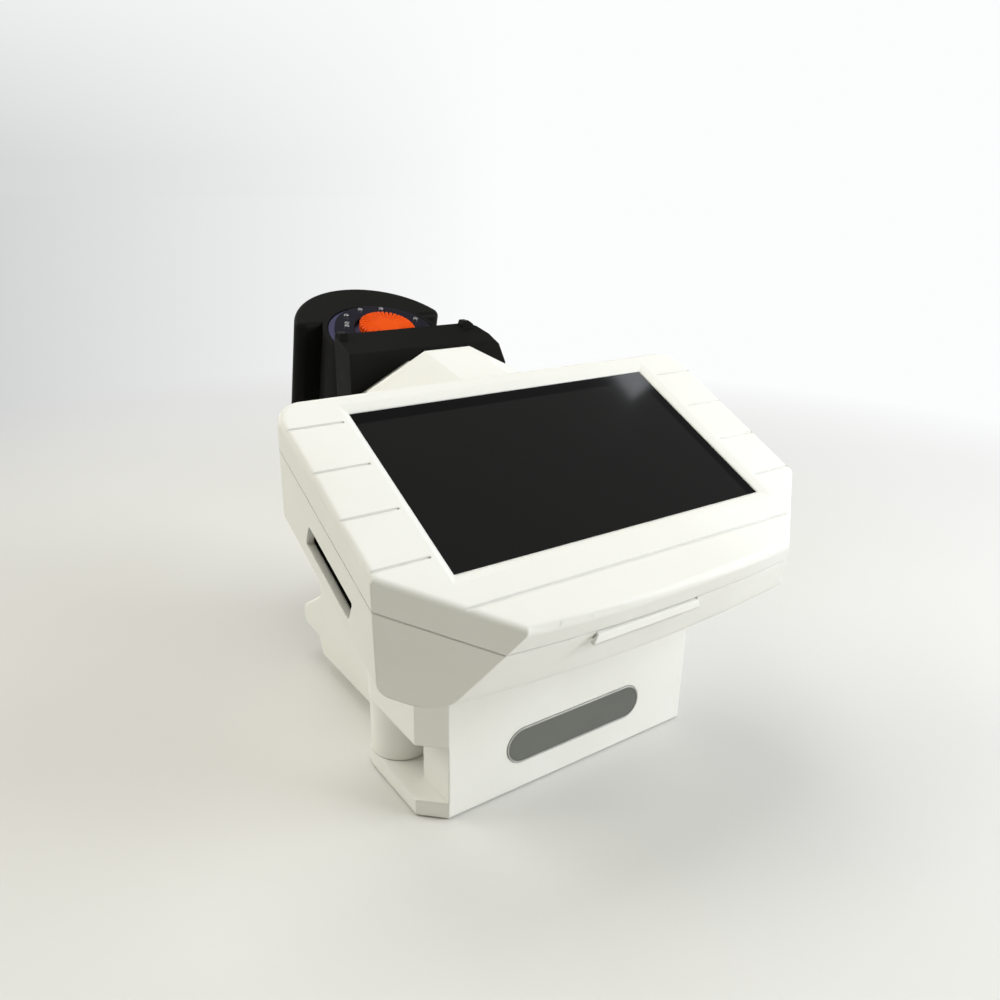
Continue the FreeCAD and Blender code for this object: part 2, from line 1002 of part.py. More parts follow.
def hinge_pocket(grow):
    slot = box(
        pivot_x - base_half_width,
        pocket_side_x + grow,
        pocket_front_y - grow,
        base_step_y + overrun if grow == 0 else base_step_y,
        foot_top - grow,
        knuckle_bottom + grow,
    )
    if grow == 0:
        slot = slot.cut(box(base_step_x, base_half_width, base_step_y - overrun, base_back_y, 0, base_top))
    turn = disc(pivot_x, pivot_y, foot_top - grow, knuckle_bottom + grow, knuckle_radius() + hinge_gap + grow)
    return slot.fuse(turn)


def base_bosses():
    inset = base_boss_inset
    right = base_half_width - inset
    left = base_step_x + inset
    front = base_front_y + inset
    back = base_back_y - inset
    return [(right, front), (base_front_boss_x, front), (right, back), (left, back)]


def badge_form(length, height, y0, y1):
    radius = height / 2
    half = length / 2 - radius
    bar = box(-half, half, y0, y1, badge_z - radius, badge_z + radius)
    ends = [Part.makeCylinder(radius, y1 - y0, V(side * half, y0, badge_z), Y_AXIS) for side in (-1, 1)]
    return joined([bar] + ends)


def bay_box(grow, x0, x1):
    return box(x0, x1, bay_front_y - grow, bay_back_y + grow, bay_bottom - grow, bay_top + grow)


def base_shell():
    low = sole_thickness
    outer = prism(base_outline(0), low, screen_z + overrun).common(base_cap(0))
    plates = [knuckle(low, foot_top, 0), knuckle(knuckle_bottom, knuckle_top, 0)]
    outer = without(joined([outer] + plates), [hinge_pocket(0)])
    hollow = prism(base_outline(wall), low - overrun, screen_z + overrun).common(base_cap(wall))
    hollow = without(hollow, plates + [hinge_pocket(wall)])
    shell = outer.cut(hollow)
    boss_low = low + base_floor_thickness
    bosses = [disc(x, y, boss_low, boss_low + base_boss_height, base_boss_radius) for x, y in base_bosses()]
    shell = joined([shell] + [boss.common(outer) for boss in bosses])
    cutters = [disc(x, y, boss_low - overrun, boss_low + base_boss_height - wall, screw_radius + pilot_gap)
               for x, y in base_bosses()]
    cutters.append(disc(pivot_x, pivot_y, low + pin_margin, knuckle_top - pin_margin, pin_radius))
    cutters.append(badge_form(badge_length + fit_gap, badge_height + fit_gap, base_front_y - overrun,
                              base_front_y + badge_sink))
    cutters.append(bay_box(0, base_step_x - overrun, base_step_x + overrun))
    cutters.append(inlet_hole())
    cutters.append(rocker_hole())
    cutters.append(strike_box(base_step_x - overrun, base_step_x + strike_thickness))
    cutters += [mount_hole(u, v) for u, v in mount_screw_places()]
    half = cable_hole_width / 2
    deep = cable_hole_length / 2
    cutters.append(
        box(-half, half, cable_hole_y - deep, cable_hole_y + deep, base_top - wall - overrun, base_top + overrun)
    )
    return without(shell, cutters)


def mount_hole(u, v):
    top = -head_depth
    return on_screen(disc(u, v, mount_plate_top() - overrun, top + overrun, screw_radius + pilot_gap))


def base_floor():
    low = sole_thickness
    plate = prism(base_outline(wall + fit_gap), low, low + base_floor_thickness)
    plate = plate.cut(knuckle(low - overrun, foot_top, fit_gap))
    cutters = []
    for x, y in base_bosses():
        cutters.append(disc(x, y, low - overrun, low + overrun, screw_radius + pilot_gap))
        cutters.append(disc(x, y, low - overrun, low + thin_wall, screw_head_radius + pilot_gap))
    return without(plate, cutters)


def base_screws():
    low = sole_thickness
    tip = low + base_floor_thickness + base_boss_height - 2 * wall
    return Part.makeCompound([screw(x, y, low, tip, screw_head_radius, thin_wall) for x, y in base_bosses()])


def rubber_sole():
    body = prism(base_outline(sole_inset), 0, sole_thickness)
    return joined([body, knuckle(0, sole_thickness, -sole_inset)])


def badge_rim():
    y0 = base_front_y - badge_proud
    y1 = base_front_y + badge_sink
    rim = badge_form(badge_length, badge_height, y0, y1)
    inner = 2 * badge_rim_width
    return rim.cut(badge_form(badge_length - inner, badge_height - inner, y0 - overrun, y1 + overrun))


def badge_plate():
    inner = 2 * badge_rim_width + fit_gap
    y0 = base_front_y - badge_proud / 2
    return badge_form(badge_length - inner, badge_height - inner, y0, base_front_y + badge_sink)


def door_inner_x():
    return door_outer_x + door_thickness


def door_front_y():
    reach = knuckle_radius() + fit_gap
    return pivot_y + math.sqrt(reach ** 2 - (door_outer_x - pivot_x) ** 2)


def side_door():
    front = door_front_y()
    rear = door_rear_y
    outline = [
        (front, door_bottom),
        (rear, door_bottom),
        (rear + door_heel_run, door_bottom + door_heel_rise),
        (rear + ear_shoulder_run, ear_low),
        (rear + ear_reach, ear_tip_height),
        (rear, ear_root_height),
        (rear, door_top),
        (front, door_top),
    ]
    leaf = side_prism(outline, door_outer_x, door_inner_x())
    near = 0.01
    tips = [(rear + ear_shoulder_run, ear_low), (rear + ear_reach, ear_tip_height)]
    tip_edges = edges_where(
        leaf,
        lambda edge: any(all(math.hypot(p.y - y, p.z - z) < near for p in edge_points(edge)) for y, z in tips),
    )
    leaf = leaf.makeFillet(ear_corner_radius, tip_edges)
    face_edges = edges_where(
        leaf,
        lambda edge: all(abs(p.x - door_outer_x) < near for p in edge_points(edge)) and edge.Length > wall
    )
    leaf = leaf.makeChamfer(door_edge_bevel, face_edges)
    web = box(
        door_outer_x, door_inner_x(), pivot_y, front + door_edge_bevel + fit_gap, barrel_bottom, barrel_top
    )
    barrel = disc(pivot_x, pivot_y, barrel_bottom, barrel_top, barrel_radius)
    door = joined([leaf, web, barrel])
    bore = disc(pivot_x, pivot_y, barrel_bottom - overrun, barrel_top + overrun, pin_radius + running_gap)
    seat = strike_box(door_inner_x() - strike_thickness, door_inner_x() + overrun)
    return without(door, [bore, seat])


def hinge_pin():
    return disc(pivot_x, pivot_y, sole_thickness + pin_margin, knuckle_top - pin_margin, pin_radius)


def strike_box(x0, x1):
    half = strike_width / 2
    high = strike_height / 2
    return box(x0, x1, strike_y - half, strike_y + half, strike_z - high, strike_z + high)


def door_strike():
    return strike_box(door_inner_x() - strike_thickness, door_inner_x())


def door_magnet():
    return strike_box(base_step_x, base_step_x + strike_thickness)


def bay_mouth_x():
    return base_step_x + wall


def battery_bay():
    mouth = bay_mouth_x()
    outer = bay_box(thin_wall, mouth, mouth + bay_depth)
    return outer.cut(bay_box(0, mouth - overrun, mouth + bay_depth - thin_wall))


def battery_pack():
    mouth = bay_mouth_x()
    back = mouth + bay_depth - thin_wall - contact_reach
    body = box(
        mouth + pack_margin, back, bay_front_y + pack_margin,
        bay_back_y - pack_margin, bay_bottom, bay_top - pack_margin
    )
    near = 0.01
    long_edges = edges_where(body, lambda edge: abs(edge.tangentAt(0).z) > 1 - near)
    return body.makeFillet(pack_edge_radius, long_edges)


def battery_contacts():
    back = bay_mouth_x() + bay_depth - thin_wall
    pitch = (bay_top - bay_bottom) / (contact_count + 1)
    middle = (bay_front_y + bay_back_y) / 2
    half = contact_width / 2
    blades = []
    for index in range(contact_count):
        z = bay_bottom + pitch * (index + 1)
        blades.append(box(back - contact_reach, back, middle - half, middle + half, z - half, z + half))
    return Part.makeCompound(blades)


def inlet_hole():
    half = inlet_width / 2 + fit_gap
    high = inlet_height / 2 + fit_gap
    return box(
        inlet_x - half, inlet_x + half, base_back_y - wall - overrun,
        base_back_y + overrun, inlet_z - high, inlet_z + high
    )


def power_inlet():
    half = inlet_width / 2
    high = inlet_height / 2
    back = base_back_y
    body = box(inlet_x - half, inlet_x + half, back - inlet_length, back, inlet_z - high, inlet_z + high)
    flange = box(
        inlet_x - half - inlet_flange,
        inlet_x + half + inlet_flange,
        back,
        back + inlet_flange_thickness,
        inlet_z - high - inlet_flange,
        inlet_z + high + inlet_flange,
    )
    cavity = box(
        inlet_x - inlet_cavity_width / 2,
        inlet_x + inlet_cavity_width / 2,
        back - inlet_cavity_depth,
        back + overrun,
        inlet_z - inlet_cavity_height / 2,
        inlet_z + inlet_cavity_height / 2,
    )
    return joined([body, flange]).cut(cavity)


def inlet_pins():
    start = base_back_y - inlet_cavity_depth
    pins = []
    for side in (-1, 1):
        place = V(inlet_x + side * inlet_pin_pitch / 2, start, inlet_z)
        pins.append(Part.makeCylinder(inlet_pin_radius, inlet_pin_length, place, Y_AXIS))
    return Part.makeCompound(pins)


def rocker_pivot_y():
    return base_back_y - rocker_depth / 2


def rocker_frame_half_sizes():
    return rocker_length / 2 + rocker_frame_margin, rocker_height / 2 + rocker_frame_margin


def rocker_hole():
    half, high = rocker_frame_half_sizes()
    return box(
        rocker_x - half - fit_gap,
        rocker_x + half + fit_gap,
        base_back_y - wall - overrun,
        base_back_y + overrun,
        rocker_z - high - fit_gap,
        rocker_z + high + fit_gap,
    )


def rocker_frame():
    half, high = rocker_frame_half_sizes()
    lip = thin_wall
    body = box(
        rocker_x - half, rocker_x + half, base_back_y - rocker_frame_depth,
        base_back_y, rocker_z - high, rocker_z + high
    )
    flange = box(
        rocker_x - half - lip,
        rocker_x + half + lip,
        base_back_y,
        base_back_y + inlet_flange_thickness,
        rocker_z - high - lip,
        rocker_z + high + lip,
    )
    cavity = box(
        rocker_x - rocker_length / 2 - rocker_slack,
        rocker_x + rocker_length / 2 + rocker_slack,
        base_back_y - rocker_frame_depth + thin_wall,
        base_back_y + overrun,
        rocker_z - rocker_height / 2 - fit_gap,
        rocker_z + rocker_height / 2 + fit_gap,
    )
    reach = rocker_height / 2 + rocker_pin_length
    pin_hole = disc(
        rocker_x, rocker_pivot_y(), rocker_z - reach - fit_gap,
        rocker_z + reach + fit_gap, rocker_pin_radius + running_gap
    )
    return without(joined([body, flange]), [cavity, pin_hole])


def power_rocker():
    half = rocker_length / 2
    front = base_back_y + inlet_flange_thickness
    back = rocker_pivot_y() - rocker_depth / 2
    points = [
        (rocker_x - half, front + rocker_crown), (rocker_x, front), (rocker_x + half, front + rocker_crown)
    ]
    points += [(rocker_x + half, rocker_pivot_y()), (rocker_x + half / 2, back), (rocker_x - half / 2, back)]
    points += [(rocker_x - half, rocker_pivot_y())]
    paddle = prism(points, rocker_z - rocker_height / 2, rocker_z + rocker_height / 2)
    reach = rocker_height / 2 + rocker_pin_length
    pin = disc(rocker_x, rocker_pivot_y(), rocker_z - reach, rocker_z + reach, rocker_pin_radius)
    return joined([paddle, pin])


def power_board():
    half = power_board_width / 2
    low = sole_thickness + base_floor_thickness + power_board_post
    y0 = power_board_y - power_board_depth / 2
    y1 = power_board_y + power_board_depth / 2
    board = box(-half / 2, half, y0, y1, low, low + board_thickness)
    inset = board_post_inset
    feet = [
        disc(x, y, low - power_board_post, low, board_post_radius)
        for x in (-half / 2 + inset, half - inset)
        for y in (y0 + inset, y1 - inset)
    ]
    return joined([board] + feet)


def neck_section(inset, drop):
    side = neck_half_width - inset
    flat = neck_flat_half_width - inset / 2
    low = base_top - neck_fall - overrun
    return [
        (-side, low),
        (-side, neck_shoulder_z - inset - drop),
        (-flat, neck_flat_z - inset - drop),
        (flat, neck_flat_z - inset - drop),
        (side, neck_shoulder_z - inset - drop),
        (side, low),
    ]


def neck_form(inset, front_y, slack):
    slope = neck_fall / (neck_station_y - head_back_y)
    corners = [V(x, neck_station_y + slack, z + slope * slack) for x, z in neck_section(inset, 0)]
    face = Part.Face(Part.makePolygon(corners + corners[:1]))
    run = front_y - neck_station_y - overrun
    return face.extrude(V(0, run, slope * run))


def neck_cover():
    front = head_back_y + fit_gap
    back = block_front_y - fit_gap
    body = neck_form(0, front, 0)
    tongue = front_prism(neck_section(0, tongue_drop), neck_station_y, back)
    outer = body.fuse(tongue)
    inner = neck_form(neck_wall, front, -neck_wall)
    inner = inner.fuse(
        front_prism(neck_section(neck_wall, tongue_drop), neck_station_y - wall, back + overrun)
    )
    shell = outer.cut(inner)
    keep = box(-neck_half_width, neck_half_width, front, back, base_top, neck_flat_z + overrun)
    return shell.common(keep).removeSplitter()


def block_roof(inset, front, back):
    slope = (block_back_z - block_front_z) / (block_back_y - block_front_y)
    reach = block_half_width + block_flare + overrun
    low = base_top - overrun
    return side_prism(
        [
            (front - overrun, low),
            (front - overrun, block_front_z - slope * (overrun - inset) - inset),
            (back + overrun, block_back_z + slope * (overrun - inset) - inset),
            (back + overrun, low),
        ],
        -reach,
        reach,
    )


def block_corner(inset):
    wide = block_half_width + block_flare - inset
    reach = wide + 2 * overrun
    top = block_back_z + 2 * overrun
    outline = [
        (block_corner_x - inset, block_back_y),
        (wide, block_front_y),
        (reach, block_front_y),
        (reach, block_back_y + overrun),
        (block_corner_x - inset, block_back_y + overrun),
    ]
    return prism(outline, base_top - 2 * overrun, top)


def block_side(inset):
    corners = []
    for y, z in (
        (block_front_y - overrun, base_top - 2 * overrun),
        (block_back_y + overrun, base_top - 2 * overrun),
        (block_back_y + overrun, block_back_z + overrun),
        (block_front_y - overrun, block_back_z + overrun),
    ):
        x = block_side_x - block_lean_share * (z - block_front_z) - block_turn_share * (y - block_front_y)
        corners.append(V(x - inset, y, z))
    return Part.Face(Part.makePolygon(corners + corners[:1])).extrude(V(block_half_width, 0, 0))


def block_snip(inset):
    direction = V(*block_snip_direction).normalize()
    place = V(*block_snip_place) - direction * inset
    return Part.makeCylinder(block_half_width, block_half_width, place, direction)


def block_form(inset):
    front = block_front_y + inset
    back = block_back_y - inset
    wide = block_half_width + block_flare - inset
    low = base_top - (overrun if inset > 0 else 0)
    body = box(-block_half_width + inset, wide, front, back, low, block_back_z + overrun)
    cutters = [block_corner(inset), block_side(inset), block_snip(inset)]
    return without(body.common(block_roof(inset, front, back)), cutters)


def block_lug():
    top = block_back_z + lug_height
    outline = [
        (lug_left, block_front_z),
        (lug_left, block_back_z),
        (lug_left + lug_slope_left, top),
        (block_corner_x - lug_slope_right, top),
        (block_corner_x, block_back_z),
        (block_corner_x, block_front_z),
    ]
    return front_prism(outline, block_back_y - lug_depth, block_back_y)


def block_small_lug():
    top = block_back_z + small_lug_height
    outline = [
        (-block_half_width, block_front_z),
        (-block_half_width + lug_slope_left, top),
        (small_lug_right - lug_slope_left, top),
        (small_lug_right, block_front_z),
    ]
    return front_prism(outline, block_back_y - lug_depth, block_back_y)


def block_cover():
    return joined([block_form(0), block_lug(), block_small_lug()]).cut(block_form(wall))


def detector_board():
    y0 = block_front_y + wall + detector_gap_y
    return box(-detector_half_width, detector_half_width, y0, y0 + board_thickness, base_top, detector_top)


def reading_head():
    y0 = block_front_y + wall + detector_gap_y + board_thickness
    barrel = Part.makeCylinder(lens_radius, lens_length, V(0, y0, lens_z), Y_AXIS)
    bore = Part.makeCylinder(lens_radius / 2, lens_length, V(0, y0 + lens_length / 2, lens_z), Y_AXIS)
    return barrel.cut(bore)


hood_length = 2 * (hood_z - hood_bottom)


def on_lean(shape):
    return tilted(shape, hood_y, hood_z, hood_lean)


def above_hood_top(sink):
    reach = hood_length * 2
    return on_hood(box(-reach, reach, -reach, reach, -sink, reach))


def leaning_cylinder(radius):
    return on_lean(disc(0, 0, -hood_length, hood_length, radius))


def hood_horn(inset):
    radius = hood_radius - inset
    front = hood_front_v + inset
    reach = math.sqrt(radius ** 2 - (front - hood_shift) ** 2)
    middle = hood_centre_x
    start = V(middle - reach, front, 0)
    end = V(middle + reach, front, 0)
    bow = Part.Arc(start, V(middle, hood_shift + radius, 0), end)
    face = Part.Face(Part.Wire([bow.toShape(), Part.makeLine(end, start)]))
    body = face.extrude(V(0, 0, hood_length * 2))
    body.translate(V(0, 0, -hood_length))
    near = 0.01
    corners = edges_where(
        body, lambda edge: len(edge.Vertexes) == 2 and abs(edge.tangentAt(edge.FirstParameter).z) > 1 - near
    )
    body = body.makeFillet(hood_corner_radius - inset, corners)
    return on_lean(body).cut(above_hood_top(inset))


def hood_level(n):
    angle = math.radians(hood_tilt)
    normal = V(0, -math.sin(angle), math.cos(angle))
    origin = V(0, hood_y, hood_z)
    near = 0.01
    return lambda edge: all(abs((p - origin).dot(normal) - n) < near for p in edge_points(edge))


def below_hood_bottom():
    reach = hood_length * 2
    return box(-reach, reach, -reach, reach, -reach, hood_bottom)


def block_rear(gap):
    return max(block_back_y, base_back_y) + gap


def hood_solid():
    horn = hood_horn(0)
    horn = horn.makeFillet(hood_edge_radius, edges_where(horn, hood_level(0)))
    saddle = box(-saddle_half_width, saddle_half_width, block_rear(fit_gap), hood_y, hood_bottom, saddle_top)
    return joined([horn, leaning_cylinder(hood_neck_radius).cut(above_hood_top(0)), saddle])


def hood_shell():
    outer = hood_solid()
    shell = without(outer, [leaning_cylinder(hood_bore_radius), hood_horn(wall)])
    ledge = on_hood(ring(0, 0, ledge_top - ledge_thickness, ledge_top, hood_neck_radius, ledge_radius))
    shell = joined([shell, ledge.common(outer)])
    reach = hood_length * 2
    in_front = box(-reach, reach, -reach, block_rear(fit_gap), -reach, reach)
    return without(shell, [below_hood_bottom(), in_front])


def hood_floor():
    gap = wall + fit_gap
    body = joined([hood_horn(gap), leaning_cylinder(hood_bore_radius - fit_gap)])
    reach = hood_length * 2
    front = block_rear(2 * fit_gap)
    return body.common(box(-reach, reach, front, reach, hood_bottom, hood_bottom + hood_floor_thickness))


deck_top = ledge_top + deck_thickness
well_top = deck_top + plate_thickness
dial_bottom = deck_top + dial_lift
dial_top = dial_bottom + dial_height


def well_deck():
    body = disc(0, 0, ledge_top, deck_top, deck_radius)
    return on_hood(body.cut(disc(0, 0, ledge_top - overrun, deck_top + overrun, bush_radius)))


def well_plate():
    return on_hood(ring(0, 0, deck_top, well_top, plate_radius, plate_bore_radius))


def well_screws():
    places = [(well_screw_circle, angle) for angle in well_screw_angles]
    places += [(well_inner_circle, angle) for angle in well_inner_angles]
    screws = []
    for radius, angle in places:
        turn = math.radians(angle)
        x = radius * math.cos(turn)
        y = radius * math.sin(turn)
        screws.append(disc(x, y, well_top, well_top + well_screw_height, well_screw_radius))
    return on_hood(Part.makeCompound(screws))


def dial_outline():
    pitch = 2 * math.pi / dial_teeth
    crest = pitch * dial_tooth_share / 2
    points = []
    for index in range(dial_teeth):
        middle = pitch * index
        for offset, radius in ((-crest, dial_radius), (crest, dial_radius), (pitch / 2, dial_root_radius)):
            angle = middle + offset
            points.append((radius * math.cos(angle), radius * math.sin(angle)))
    return points


def dial_flute(turn):
    slope = math.degrees(math.atan2(dial_flute_depth, dial_radius - dial_flute_start))
    rise = dial_flute_depth + overrun
    half = dial_flute_half_width * rise / dial_flute_depth
    profile = [(0, dial_top), (half, dial_top + rise), (-half, dial_top + rise)]
    flute = side_prism(profile, dial_flute_start, dial_radius + overrun)
    flute.rotate(V(dial_flute_start, 0, dial_top), Y_AXIS, slope)
    flute.rotate(V(0, 0, 0), Z_AXIS, turn)
    return flute


def dial():
    crown = disc(0, 0, dial_top - dial_root_depth, dial_top, dial_radius)
    crown = crown.makeChamfer(dial_edge_radius, edges_on_level(crown, dial_top))
    teeth = prism(dial_outline(), dial_bottom, dial_top + overrun)
    core = disc(0, 0, dial_bottom, dial_top - dial_root_depth, dial_core_radius)
    turns = [360 / dial_teeth * (index + 0.5) for index in range(dial_teeth)]
    body = without(joined([crown.common(teeth), core]), [dial_flute(turn) for turn in turns])
    return on_hood(body.cut(disc(0, 0, dial_bottom - overrun, dial_top - shaft_blind, shaft_radius)))


def dial_shaft():
    return on_hood(disc(0, 0, bracket_top - bracket_depth, dial_top - shaft_blind, shaft_radius))


def upper_bush():
    low = ledge_top - bush_flange_thickness
    body = joined(
        [disc(0, 0, ledge_top, deck_top, bush_radius), disc(0, 0, low, ledge_top, bush_flange_radius)]
    )
    return on_hood(body.cut(disc(0, 0, low - overrun, deck_top + overrun, shaft_radius + running_gap)))


def carousel():
    low = carousel_top - carousel_thickness
    body = disc(0, 0, low, carousel_top, carousel_radius)
    half = carousel_slot_width / 2
    long = carousel_slot_length / 2
    for index in range(carousel_slots):
        slot = box(
            carousel_slot_circle - long, carousel_slot_circle + long,
            -half, half, low - overrun, carousel_top + overrun
        )
        slot.rotate(V(0, 0, 0), Z_AXIS, 360 / carousel_slots * index)
        body = body.cut(slot)
    return on_hood(body.cut(disc(0, 0, low - overrun, carousel_top + overrun, shaft_radius)))


def bearing_bracket():
    low = bracket_top - bracket_depth
    shift = bracket_top * math.tan(math.radians(hood_tilt - hood_lean))
    bar = box(
        -bracket_half_length, bracket_half_length, shift - bracket_half_width,
        shift + bracket_half_width, low, bracket_top
    )
    return on_hood(bar.cut(disc(0, 0, low - overrun, bracket_top + overrun, shaft_radius + running_gap)))


def all_parts():
    outer = head_outer()
    inner = head_form(wall)
    return {
        "head_upper_shell": head_upper_shell(outer, inner),
        "head_lower_shell": head_lower_shell(outer, inner),
        "display_glass": display_glass(),
        "display_gasket": display_gasket(),
        "lcd_panel": lcd_panel(),
        "panel_bracket": panel_bracket(),
        "panel_screws": panel_screws(),
        "head_screws": head_screws(),
        "main_board": main_board(),
        "board_chips": board_chips(),
        "speaker": speaker(),
        "port_bay": port_bay(),
        "port_sockets": port_sockets(),
        "tray_guide": tray_guide(),
        "cassette_tray": cassette_tray(),
        "strip_reader": strip_reader(),
        "mount_plate": mount_plate(),
        "mount_screws": mount_screws(),
        "support_column": support_column(),
        "base_shell": base_shell(),
        "base_floor": base_floor(),
        "base_screws": base_screws(),
        "rubber_sole": rubber_sole(),
        "badge_rim": badge_rim(),
        "badge_plate": badge_plate(),
        "side_door": side_door(),
        "hinge_pin": hinge_pin(),
        "door_strike": door_strike(),
        "door_magnet": door_magnet(),
        "battery_bay": battery_bay(),
        "battery_pack": battery_pack(),
        "battery_contacts": battery_contacts(),
        "power_inlet": power_inlet(),
        "inlet_pins": inlet_pins(),
        "rocker_frame": rocker_frame(),
        "power_rocker": power_rocker(),
        "power_board": power_board(),
        "neck_cover": neck_cover(),
        "block_cover": block_cover(),
        "detector_board": detector_board(),
        "reading_head": reading_head(),
        "hood_shell": hood_shell(),
        "hood_floor": hood_floor(),
        "well_deck": well_deck(),
        "well_plate": well_plate(),
        "well_screws": well_screws(),
        "dial": dial(),
        "dial_shaft": dial_shaft(),
        "upper_bush": upper_bush(),
        "carousel": carousel(),
        "bearing_bracket": bearing_bracket(),
    }


os.makedirs("parts", exist_ok=True)
for name, shape in all_parts().items():
    shape.exportStep("parts/" + name + ".step")
    print(name, len(shape.Solids), shape.isValid(), round(shape.Volume))
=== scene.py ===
import json
import math

import bpy
from mathutils import Matrix, Vector

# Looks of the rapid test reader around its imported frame. Metres, +Z up, +Y away from the user.
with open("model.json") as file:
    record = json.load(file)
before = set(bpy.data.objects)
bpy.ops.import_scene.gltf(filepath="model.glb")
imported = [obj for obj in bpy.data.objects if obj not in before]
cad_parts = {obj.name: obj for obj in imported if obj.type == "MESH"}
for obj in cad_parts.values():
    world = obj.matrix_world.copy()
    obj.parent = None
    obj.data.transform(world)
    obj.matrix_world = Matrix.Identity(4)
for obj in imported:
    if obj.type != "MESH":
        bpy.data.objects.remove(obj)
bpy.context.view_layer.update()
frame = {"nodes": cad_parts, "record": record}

# Screen plane of the display head
SCREEN_ORIGIN = Vector((0.0, -0.05685, 0.145))
SCREEN_TILT = math.radians(26.0)

# Inner edges of the painted shade band at the screen's right and top (the sunk window's shadowed far walls),
# along the screen and up it
WALL_SHADE_RIGHT = 0.0705
WALL_SHADE_TOP = 0.0375
WALL_SHADE_BLUR = 0.001

# Camera at the photograph's place
CAMERA_PLACE = Vector((-0.219, -0.32215, 0.2539))
CAMERA_RIGHT = Vector((0.823, -0.5678, 0.0175))
CAMERA_UP = Vector((0.1874, 0.3005, 0.9352))
CAMERA_LENS = 31.34
CAMERA_SENSOR = 36.0
CAMERA_NEAR = 0.01
CAMERA_FAR = 50.0

# Lamps: name, place, aim, side of the square, watts, colour
AIM = (0.0, 0.0, 0.1)
GLARE_AIM = (0.076, -0.018, 0.164)
LAMPS = (
    ("top_softbox", (0.0, 0.36, 1.25), AIM, 0.7, 5.2, (1.0, 1.0, 0.985)),
    ("back_left_softbox", (-0.8, 0.72, 0.85), AIM, 0.9, 9.2, (1.0, 0.985, 0.9)),
    ("front_right_softbox", (0.67, -0.63, 0.5), AIM, 0.6, 9.3, (0.93, 0.955, 1.0)),
    ("glare_card", (0.76, 0.29, 0.83), GLARE_AIM, 0.12, 0.14, (0.9, 0.95, 1.0)),
)

# The backdrop's far side as the camera sees it, and the way to its right
FAR_SIDE = (0.56, 0.83, 0.0)
TO_RIGHT = (0.823, -0.568, 0.0)
# Painted light: the backdrop's glow at its left and right, a falloff of the studio light across it
LEFT_LEVEL = 0.66
RIGHT_LEVEL = 0.985

# Floor: its size, and where it starts and ends melting into the backdrop
FLOOR_SIZE = 16.0
FADE_START = 0.28
FADE_END = 0.8
CAMERA_DEPTH = 0.45

# Colours, linear
WHITE = (0.86, 0.86, 0.825)
WHITE_SHADE = (0.82, 0.815, 0.765)
BLACK = (0.0078, 0.0078, 0.0071)
BLACK_SHADE = (0.0098, 0.0098, 0.009)
WARM = (1.0, 0.97, 0.76)
PALE = (0.99, 0.995, 1.0)
FLOOR_LIGHT = (0.73, 0.725, 0.705)
FLOOR_DARK = (0.70, 0.695, 0.675)
GLASS = (0.0098, 0.0098, 0.0095)
# Painted shade for the sunk window's shadowed far walls, along the screen's top and right
GLASS_WALL_SHADE = (0.0025, 0.0025, 0.0025)
# Edge colours: wear plus a painted sheen highlight on rounded edges
WHITE_EDGE_WEAR_AND_SHEEN = (0.9, 0.9, 0.88)
BLACK_EDGE_WEAR_AND_SHEEN = (0.016, 0.016, 0.015)
BOARD_GREEN = (0.01, 0.09, 0.035)
TRACK_GREEN = (0.02, 0.16, 0.06)

# Refraction of plastic and glass
IOR = 1.5

# Texture of moulded plastic: features per metre, and heights in metres
FLOW_SCALE = 14.0
SPECK_SCALE = 900.0
SMUDGE_SCALE = 45.0
WAVE_SCALE = 26.0
WAVE_HEIGHT = 0.00025
GRAIN_SCALE = 2400.0
GRAIN_HEIGHT = 0.00003
WHITE_GRAIN_SCALE = 2600.0
BLACK_GRAIN_SCALE = 2200.0
BLACK_GRAIN_HEIGHT = 0.00004
FINE_EDGE = 0.0003
SOFT_EDGE = 0.0005
SHELL_EDGE = 0.0011

# Texture of machined metal, smears on glass and tracks on a board
LINE_SCALE = 900.0
LINE_STRETCH = (1.0, 1.0, 30.0)
LINE_HEIGHT = 0.00002
STAIN_SCALE = 60.0
METAL_EDGE = 0.0002
SMEAR_SCALE = 24.0
TRACK_SCALE = 220.0
TRACK_WIDTH = 0.03
TRACK_HEIGHT = 0.00004
BOARD_STAIN_SCALE = 40.0

# Plain plastics by slot: material, colour, roughness, specular level
PLASTICS = {
    "panel_dark": ("panel_dark", (0.02, 0.02, 0.022), 0.4, 0.4),
    "orange_dial": ("orange_plastic", (0.82, 0.085, 0.002), 0.36, 0.06),
    "navy_plate": ("navy_plastic", (0.008, 0.007, 0.0145), 0.3, 0.1),
    "violet_deck": ("violet_plastic", (0.075, 0.075, 0.165), 0.3, 0.15),
    "badge_grey": ("badge_grey", (0.155, 0.16, 0.145), 0.3, 0.2),
    "rubber": ("rubber", (0.02, 0.02, 0.02), 0.7, 0.4),
    "chip_black": ("chip_black", (0.02, 0.02, 0.021), 0.5, 0.4),
    "battery_wrap": ("battery_wrap", (0.02, 0.12, 0.35), 0.3, 0.4),
    "bearing_grey": ("bearing_grey", (0.35, 0.35, 0.34), 0.45, 0.4),
}

# Metals by slot: colour, roughness
METALS = {
    "badge_rim": ((0.6, 0.6, 0.58), 0.3),
    "steel": ((0.6, 0.6, 0.61), 0.2),
    "brass": ((0.75, 0.55, 0.22), 0.3),
}


def add_node(tree, kind, inputs=None, **settings):
    """A shader node with its settings, and its inputs linked or set."""
    made = tree.nodes.new(kind)
    for key, value in settings.items():
        setattr(made, key, value)
    for key, value in (inputs or {}).items():
        if isinstance(value, bpy.types.NodeSocket):
            tree.links.new(value, made.inputs[key])
        else:
            made.inputs[key].default_value = value
    return made


def new_material(name):
    material = bpy.data.materials.new(name)
    material.use_nodes = True
    material.node_tree.nodes.clear()
    return material, material.node_tree


def finish_material(tree, shader):
    add_node(tree, "ShaderNodeOutputMaterial", {"Surface": shader.outputs[0]})


def rgba(colour):
    return (colour[0], colour[1], colour[2], 1.0)


def object_coordinates(tree):
    return add_node(tree, "ShaderNodeTexCoord").outputs["Object"]


